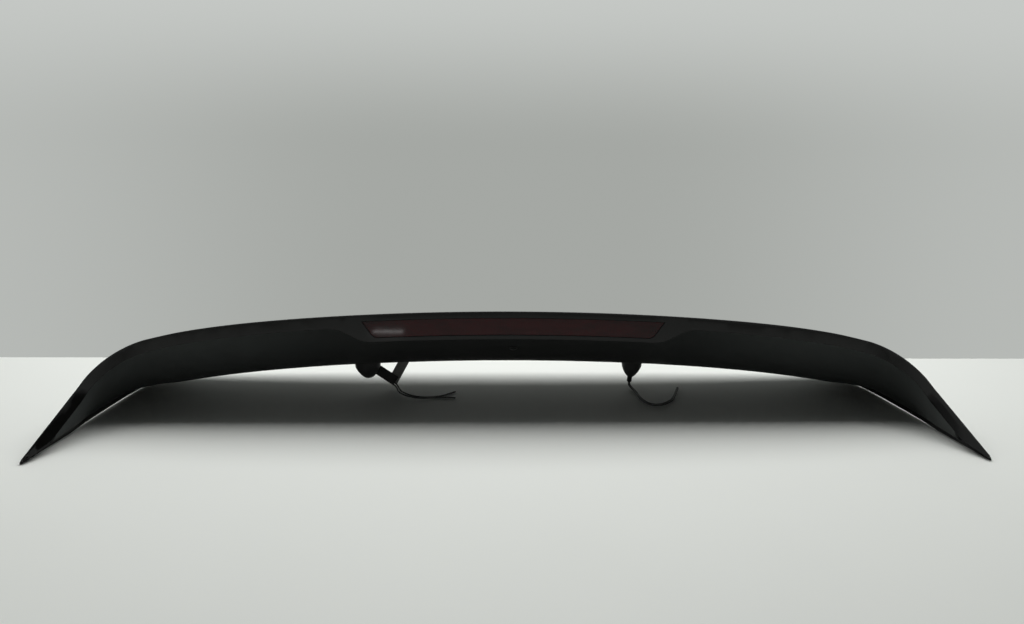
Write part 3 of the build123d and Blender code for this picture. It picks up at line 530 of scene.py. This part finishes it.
class SPOILER_OT_lamp(bpy.types.Operator):
    """Finish the brake lamp's lens, housing and inner pieces"""

    bl_idname = "spoiler.lamp"
    bl_label = "Brake lamp"

    def execute(self, context):
        look = context.scene.spoiler_finishes
        dress(red_lens(look.lens, look.lens_half), "brake_lamp_lens")
        satin = grained_plastic("satin moulding", look.moulding,
                                grain=0.0005, roughness=0.45, depth=0.0001, edge=0.0005)
        dress(satin, "brake_lamp_housing", "lead_clips")
        dress(lacquered_board(look.board, look.track), "brake_lamp_circuit_board")
        dress(cast_resin(look.resin), "brake_lamp_leds")
        dress(bright_metal(look.film), "brake_lamp_reflector")
        moulded = grained_plastic("plug moulding", look.plug,
                                  grain=0.0006, roughness=0.5, depth=0.0001, edge=0.0005)
        dress(moulded, "lamp_plug")
        return {"FINISHED"}


class SPOILER_OT_washer(bpy.types.Operator):
    """Finish the washer jet, its hose and the sleeve on the hose"""

    bl_idname = "spoiler.washer"
    bl_label = "Washer"

    def execute(self, context):
        look = context.scene.spoiler_finishes
        moulded = grained_plastic("jet moulding", look.moulding,
                                  grain=0.0004, roughness=0.35, depth=0.0001, edge=0.0005)
        dress(moulded, "washer_jet", "hose_coupling")
        dress(rubber("hose rubber", look.rubber, dust_and_painted_light=2.0), "washer_hose")
        return {"FINISHED"}


class SPOILER_OT_harness(bpy.types.Operator):
    """Finish the grommets, the lamp lead and the folded strap"""

    bl_idname = "spoiler.harness"
    bl_label = "Harness"

    def execute(self, context):
        look = context.scene.spoiler_finishes
        dress(rubber("grommet rubber", look.rubber, dust_and_painted_light=2.5), "left_grommet", "right_grommet")
        dress(rubber("lead sheath", look.rubber, dust_and_painted_light=1.6), "lamp_lead")
        dress(harness_tape(look.tape, look.tape_painted_lit, look.fold), "harness_strap")
        return {"FINISHED"}


class SPOILER_OT_fixings(bpy.types.Operator):
    """Finish the studs, screws and foam strips"""

    bl_idname = "spoiler.fixings"
    bl_label = "Fixings"

    def execute(self, context):
        look = context.scene.spoiler_finishes
        dress(plated_steel("threaded studs", look.zinc, thread=0.001), "mounting_studs")
        dress(plated_steel("plated screws", look.zinc, thread=0.0), "brake_lamp_screws")
        dress(foam_strip(look.foam), "brake_lamp_gasket", "stud_seals", "front_edge_tape")
        return {"FINISHED"}


class SPOILER_OT_cut_leads(bpy.types.Operator):
    """Lay the two cut lamp wires and the cut washer hose on the table"""

    bl_idname = "spoiler.cut_leads"
    bl_label = "Cut leads"

    def execute(self, context):
        look = context.scene.spoiler_finishes
        size = context.scene.spoiler_leads
        sheath = rubber("wire sheath", look.rubber, dust_and_painted_light=1.6)
        hose = rubber("hose tail rubber", look.rubber, dust_and_painted_light=2.0)
        lay_cord("lamp_wire_one", WIRE_ONE_ROUTE, size.wire_diameter,
                 sheath)
        lay_cord("lamp_wire_two", WIRE_TWO_ROUTE, size.wire_diameter,
                 sheath)
        lay_cord("washer_hose_tail", HOSE_TAIL_ROUTE, size.hose_diameter,
                 hose)
        return {"FINISHED"}


class SPOILER_OT_stage(bpy.types.Operator):
    """Set the table, the wall, the soft light and the camera"""

    bl_idname = "spoiler.stage"
    bl_label = "Stage"

    def execute(self, context):
        stage = context.scene.spoiler_stage
        self.set_table(stage)
        self.set_wall(stage)
        self.set_light(context.scene, stage)
        self.set_camera(context.scene, stage)
        context.scene.view_settings.view_transform = "Standard"
        return {"FINISHED"}

    def set_table(self, stage):
        """Pale table that is painted darker past the wall as painted shade against the soft lamp's strong
        light there, and fades into grey far away.
        """
        material, finish = new_finish("pale table")
        wipe = finish.noise(size=0.2, detail=4.0)
        corner = (abs(finish.along(0)) - stage.table_half).larger(0.0)
        seen = finish.seen()
        near_part = finish.along(1) > corner - stage.table_near
        # Painted shade: darker past the wall, where the soft lamp lights the table most
        painted_shade_part = finish.ramp(finish.along(1), stage.table_far, stage.tone_far)
        painted_shade_colour = tone(stage.table, stage.far_painted_shade)
        pale = finish.shades(0.15 * wipe + 0.85 * painted_shade_part, stage.table, painted_shade_colour)
        top = finish.node("ShaderNodeBsdfPrincipled", {}, {
            "Base Color": finish.shades(seen.larger(near_part), stage.floor, pale),
            "Roughness": 0.55 + 0.1 * wipe,
            "Specular IOR Level": 0.3,
        })
        distance = finish.node("ShaderNodeVectorMath", {"operation": "LENGTH"}, {0: finish.at}, 1)
        horizon = finish.node("ShaderNodeEmission", {}, {"Color": stage.wall})
        fade = seen * finish.ramp(distance, stage.fade_near, stage.fade_far)
        faded = finish.node("ShaderNodeMixShader", {}, {0: fade, 1: top, 2: horizon})
        finish.node("ShaderNodeOutputMaterial", {}, {"Surface": faded})
        self.spread("table", stage.sheet, (0.0, 0.0, -stage.drop), 0.0, material)

    def set_wall(self, stage):
        """Grey wall behind the table, painted paler higher up and towards its sides as painted light, open
        from behind and no hindrance to the light.
        """
        material, finish = new_finish("grey wall")
        # Painted light: paler higher up and towards the sides, as light falls on a real wall
        height = finish.ramp(finish.along(2), stage.wall_low, stage.wall_high)
        side = 0.5 * finish.ramp(abs(finish.along(0)), stage.wall_inner, stage.wall_outer)
        shade = finish.shades(height + side - height * side, stage.wall, stage.wall_top)
        paint = finish.node("ShaderNodeEmission", {}, {"Color": shade})
        behind = finish.node("ShaderNodeNewGeometry", {}, {}, "Backfacing")
        open_back = finish.node("ShaderNodeBsdfTransparent", {}, {})
        one_sided = finish.node("ShaderNodeMixShader", {}, {0: behind, 1: paint, 2: open_back})
        finish.node("ShaderNodeOutputMaterial", {}, {"Surface": one_sided})
        wall = self.spread("wall", stage.sheet, (0.0, stage.table_far, 0.0), pi / 2, material)
        wall.visible_diffuse = False
        wall.visible_shadow = False

    def spread(self, name, width, place, tilt, material):
        """A flat sheet of the stage."""
        bpy.ops.object.select_all(action="DESELECT")
        bpy.ops.mesh.primitive_plane_add(size=width, location=place, rotation=(tilt, 0.0, 0.0))
        sheet = bpy.context.object
        sheet.name = name
        bpy.ops.object.transform_apply(location=True, rotation=True, scale=False)
        sheet.data.materials.append(material)
        return sheet

    def hang(self, scene, name, place, tilt, size, power):
        """A flat soft lamp that the camera doesn't see."""
        lamp = bpy.data.lights.new(name, "AREA")
        lamp.shape = "RECTANGLE"
        lamp.size, lamp.size_y = size
        lamp.energy = power
        hung = bpy.data.objects.new(name, lamp)
        hung.location = place
        hung.rotation_euler = (tilt, 0.0, 0.0)
        hung.visible_camera = False
        scene.collection.objects.link(hung)

    def set_light(self, scene, stage):
        """Soft lamp above, small lamp for the lens, and grey surroundings that light the spoiler faintly."""
        self.hang(scene, "soft lamp", (0.0, stage.key_front, stage.key_height), 0.0,
                  (stage.key_width, stage.key_depth), stage.key_power)
        self.hang(scene, "glint lamp", stage.glint_place, pi,
                  (stage.glint_width, stage.glint_depth), stage.glint_power)
        scene.world = bpy.data.worlds.new("room")
        scene.world.use_nodes = True
        finish = Finish(scene.world.node_tree, "Generated")
        seen = finish.seen()
        front = seen.larger(finish.ramp(finish.along(1), low=-0.5, high=0.5))
        height = finish.ramp(finish.along(2), low=0.0, high=0.2)
        grey = finish.shades(height, stage.wall, stage.wall_top)
        light = finish.node("ShaderNodeBackground", {}, {
            "Color": finish.shades(front, stage.room, grey),
            "Strength": stage.ambient + (1 - stage.ambient) * seen,
        })
        finish.node("ShaderNodeOutputWorld", {}, {"Surface": light})

    def set_camera(self, scene, stage):
        """Camera behind the car, a little to the left of the spoiler and above it."""
        view = bpy.data.cameras.new("camera")
        view.sensor_width = stage.camera_sensor
        view.lens = stage.camera_lens
        view.clip_start = 0.01
        camera = bpy.data.objects.new("camera", view)
        camera.location = (-stage.camera_aside, -stage.camera_back, stage.camera_height)
        aim = Euler((pi / 2 - stage.camera_pitch, 0.0, -stage.camera_turn)).to_matrix()
        camera.rotation_euler = (aim @ Matrix.Rotation(stage.camera_roll, 3, "Z")).to_euler()
        scene.collection.objects.link(camera)
        scene.camera = camera


OPERATORS = (
    SPOILER_OT_skins, SPOILER_OT_lamp, SPOILER_OT_washer, SPOILER_OT_harness, SPOILER_OT_fixings,
    SPOILER_OT_cut_leads, SPOILER_OT_stage,
)


class SPOILER_PT_looks(bpy.types.Panel):
    """Lists the spoiler's steps in the sidebar"""

    bl_idname = "SPOILER_PT_looks"
    bl_label = "Spoiler looks"
    bl_space_type = "VIEW_3D"
    bl_region_type = "UI"
    bl_category = "Spoiler"

    def draw(self, context):
        for group in ("spoiler_finishes", "spoiler_leads", "spoiler_stage"):
            settings = getattr(context.scene, group)
            box = self.layout.box()
            for name in settings.__annotations__:
                box.prop(settings, name)
        for operator in OPERATORS:
            self.layout.operator(operator.bl_idname)


CLASSES = (SpoilerFinishes, SpoilerLeads, SpoilerStage, *OPERATORS, SPOILER_PT_looks)


def register():
    for one in CLASSES:
        bpy.utils.register_class(one)
    bpy.types.Scene.spoiler_finishes = PointerProperty(type=SpoilerFinishes)
    bpy.types.Scene.spoiler_leads = PointerProperty(type=SpoilerLeads)
    bpy.types.Scene.spoiler_stage = PointerProperty(type=SpoilerStage)


def unregister():
    del bpy.types.Scene.spoiler_stage
    del bpy.types.Scene.spoiler_leads
    del bpy.types.Scene.spoiler_finishes
    for one in reversed(CLASSES):
        bpy.utils.unregister_class(one)


def main():
    register()
    bpy.ops.spoiler.skins()
    bpy.ops.spoiler.lamp()
    bpy.ops.spoiler.washer()
    bpy.ops.spoiler.harness()
    bpy.ops.spoiler.fixings()
    bpy.ops.spoiler.cut_leads()
    bpy.ops.spoiler.stage()


if __name__ == "__main__":
    main()
